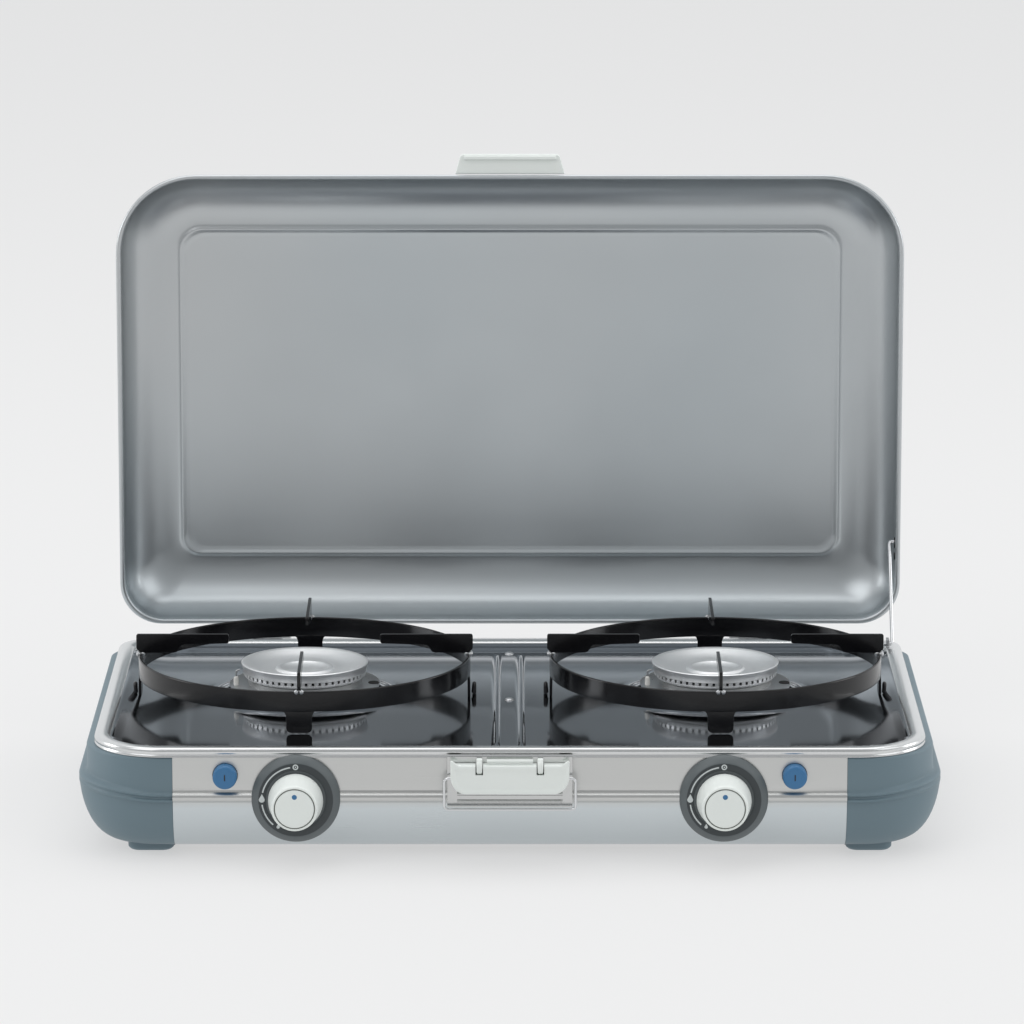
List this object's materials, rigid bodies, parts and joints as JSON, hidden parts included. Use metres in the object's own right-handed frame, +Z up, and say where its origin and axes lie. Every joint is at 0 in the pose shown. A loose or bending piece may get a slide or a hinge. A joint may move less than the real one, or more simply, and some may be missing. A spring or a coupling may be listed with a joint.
{
  "type": "camping stove",
  "caption": "Portable gas camping stove with round burners under wire-arm pan rings on a polished tray, front knobs and igniter buttons, a draw latch and a hinged lid held by a stay.",
  "frame": {"origin": "bottom middle of the box of the open stove, at the floor under the feet", "axes": "+X to the right of someone at the knobs, +Y away from them, +Z up"},
  "size_m": [0.53, 0.377, 0.3895],
  "materials": {
    "brushed_panel": "brushed",
    "end_cap_plastic": "satin moulded",
    "tray_steel": "polished",
    "lid_metal": "satin",
    "frame_metal": "satin",
    "burner_alloy": "turned",
    "steel": "zinc plated",
    "chrome": "bright",
    "brass": "machined",
    "enamel": "gloss enamel",
    "bezel_plastic": "fine texture",
    "white_plastic": "smooth",
    "blue_plastic": "smooth",
    "rubber": "matt",
    "black_plastic": "matt",
    "ceramic": "glazed"
  },
  "bodies": {
    "base": {"bottom_plate": "steel", "front_panel": "brushed_panel", "rear_panel": "brushed_panel", "top_frame": "frame_metal", "hob_tray": "tray_steel", "left_end_cap": "end_cap_plastic", "right_end_cap": "end_cap_plastic", "left_front_foot": "rubber", "left_back_foot": "rubber", "right_front_foot": "rubber", "right_back_foot": "rubber", "gas_rail": "steel", "gas_inlet_nipple": "brass", "left_gas_tap": "brass", "left_injector": "brass", "left_burner_body": "burner_alloy", "left_burner_cap": "burner_alloy", "left_electrode": "ceramic", "left_igniter": "black_plastic", "left_igniter_lead": "black_plastic", "left_bezel": "bezel_plastic", "left_clip_left": "black_plastic", "left_clip_right": "black_plastic", "left_hinge_bracket": "steel", "right_gas_tap": "brass", "right_injector": "brass", "right_burner_body": "burner_alloy", "right_burner_cap": "burner_alloy", "right_electrode": "ceramic", "right_igniter": "black_plastic", "right_igniter_lead": "black_plastic", "right_bezel": "bezel_plastic", "right_clip_left": "black_plastic", "right_clip_right": "black_plastic", "right_hinge_bracket": "steel", "latch_plate": "steel", "stay_bracket": "steel"},
    "lid": {"left_lid_hinge_leaf": "steel", "right_lid_hinge_leaf": "steel", "lid_shell": "lid_metal", "lid_catch": "white_plastic"},
    "stay": {"stay_rod": "chrome"},
    "latch_lever": {"latch_lever": "white_plastic"},
    "latch_bail": {"latch_bail": "chrome"},
    "left_knob": {"left_knob": "white_plastic", "left_knob_spindle": "brass"},
    "left_button": {"left_button": "blue_plastic"},
    "left_pan_support": {"left_pan_ring": "enamel", "left_pan_arm_back": "enamel", "left_pan_arm_left": "enamel", "left_pan_arm_front": "enamel", "left_pan_arm_right": "enamel"},
    "right_knob": {"right_knob": "white_plastic", "right_knob_spindle": "brass"},
    "right_button": {"right_button": "blue_plastic"},
    "right_pan_support": {"right_pan_ring": "enamel", "right_pan_arm_back": "enamel", "right_pan_arm_left": "enamel", "right_pan_arm_front": "enamel", "right_pan_arm_right": "enamel"}
  },
  "joints": [
    {"name": "lid_hinge", "type": "hinge", "parent": "base", "child": "lid", "pos_m": [0, 0.148, 0.07], "axis": [-1, 0, 0], "range_deg": [-90, 0]},
    {"name": "stay_fold", "type": "hinge", "parent": "base", "child": "stay", "pos_m": [0.249, 0.1115, 0.074], "axis": [-1, 0, 0], "range_deg": [-126, 0]},
    {"name": "latch_lever_swing", "type": "hinge", "parent": "base", "child": "latch_lever", "pos_m": [0, -0.1691, 0.063], "axis": [-1, 0, 0], "range_deg": [0, 90]},
    {"name": "latch_bail_swing", "type": "hinge", "parent": "latch_lever", "child": "latch_bail", "pos_m": [0, -0.17, 0.055], "axis": [-1, 0, 0], "range_deg": [0, 140]},
    {"name": "left_knob_turn", "type": "hinge", "parent": "base", "child": "left_knob", "pos_m": [-0.13, -0.1755, 0.041], "axis": [0, -1, 0], "range_deg": [0, 165]},
    {"name": "left_button_press", "type": "slide", "parent": "base", "child": "left_button", "axis": [0, 1, 0], "range_m": [0, 0.004], "stiffness_N_per_m": 600},
    {"name": "left_pan_support_lift", "type": "slide", "parent": "base", "child": "left_pan_support", "axis": [0, 0, 1], "range_m": [0, 0.06]},
    {"name": "right_knob_turn", "type": "hinge", "parent": "base", "child": "right_knob", "pos_m": [0.13, -0.1755, 0.041], "axis": [0, -1, 0], "range_deg": [0, 165]},
    {"name": "right_button_press", "type": "slide", "parent": "base", "child": "right_button", "axis": [0, 1, 0], "range_m": [0, 0.004], "stiffness_N_per_m": 600},
    {"name": "right_pan_support_lift", "type": "slide", "parent": "base", "child": "right_pan_support", "axis": [0, 0, 1], "range_m": [0, 0.06]}
  ],
  "couplings": [
    {"joint": "stay_fold", "follows": "lid_hinge", "ratio": 1.38}
  ]
}
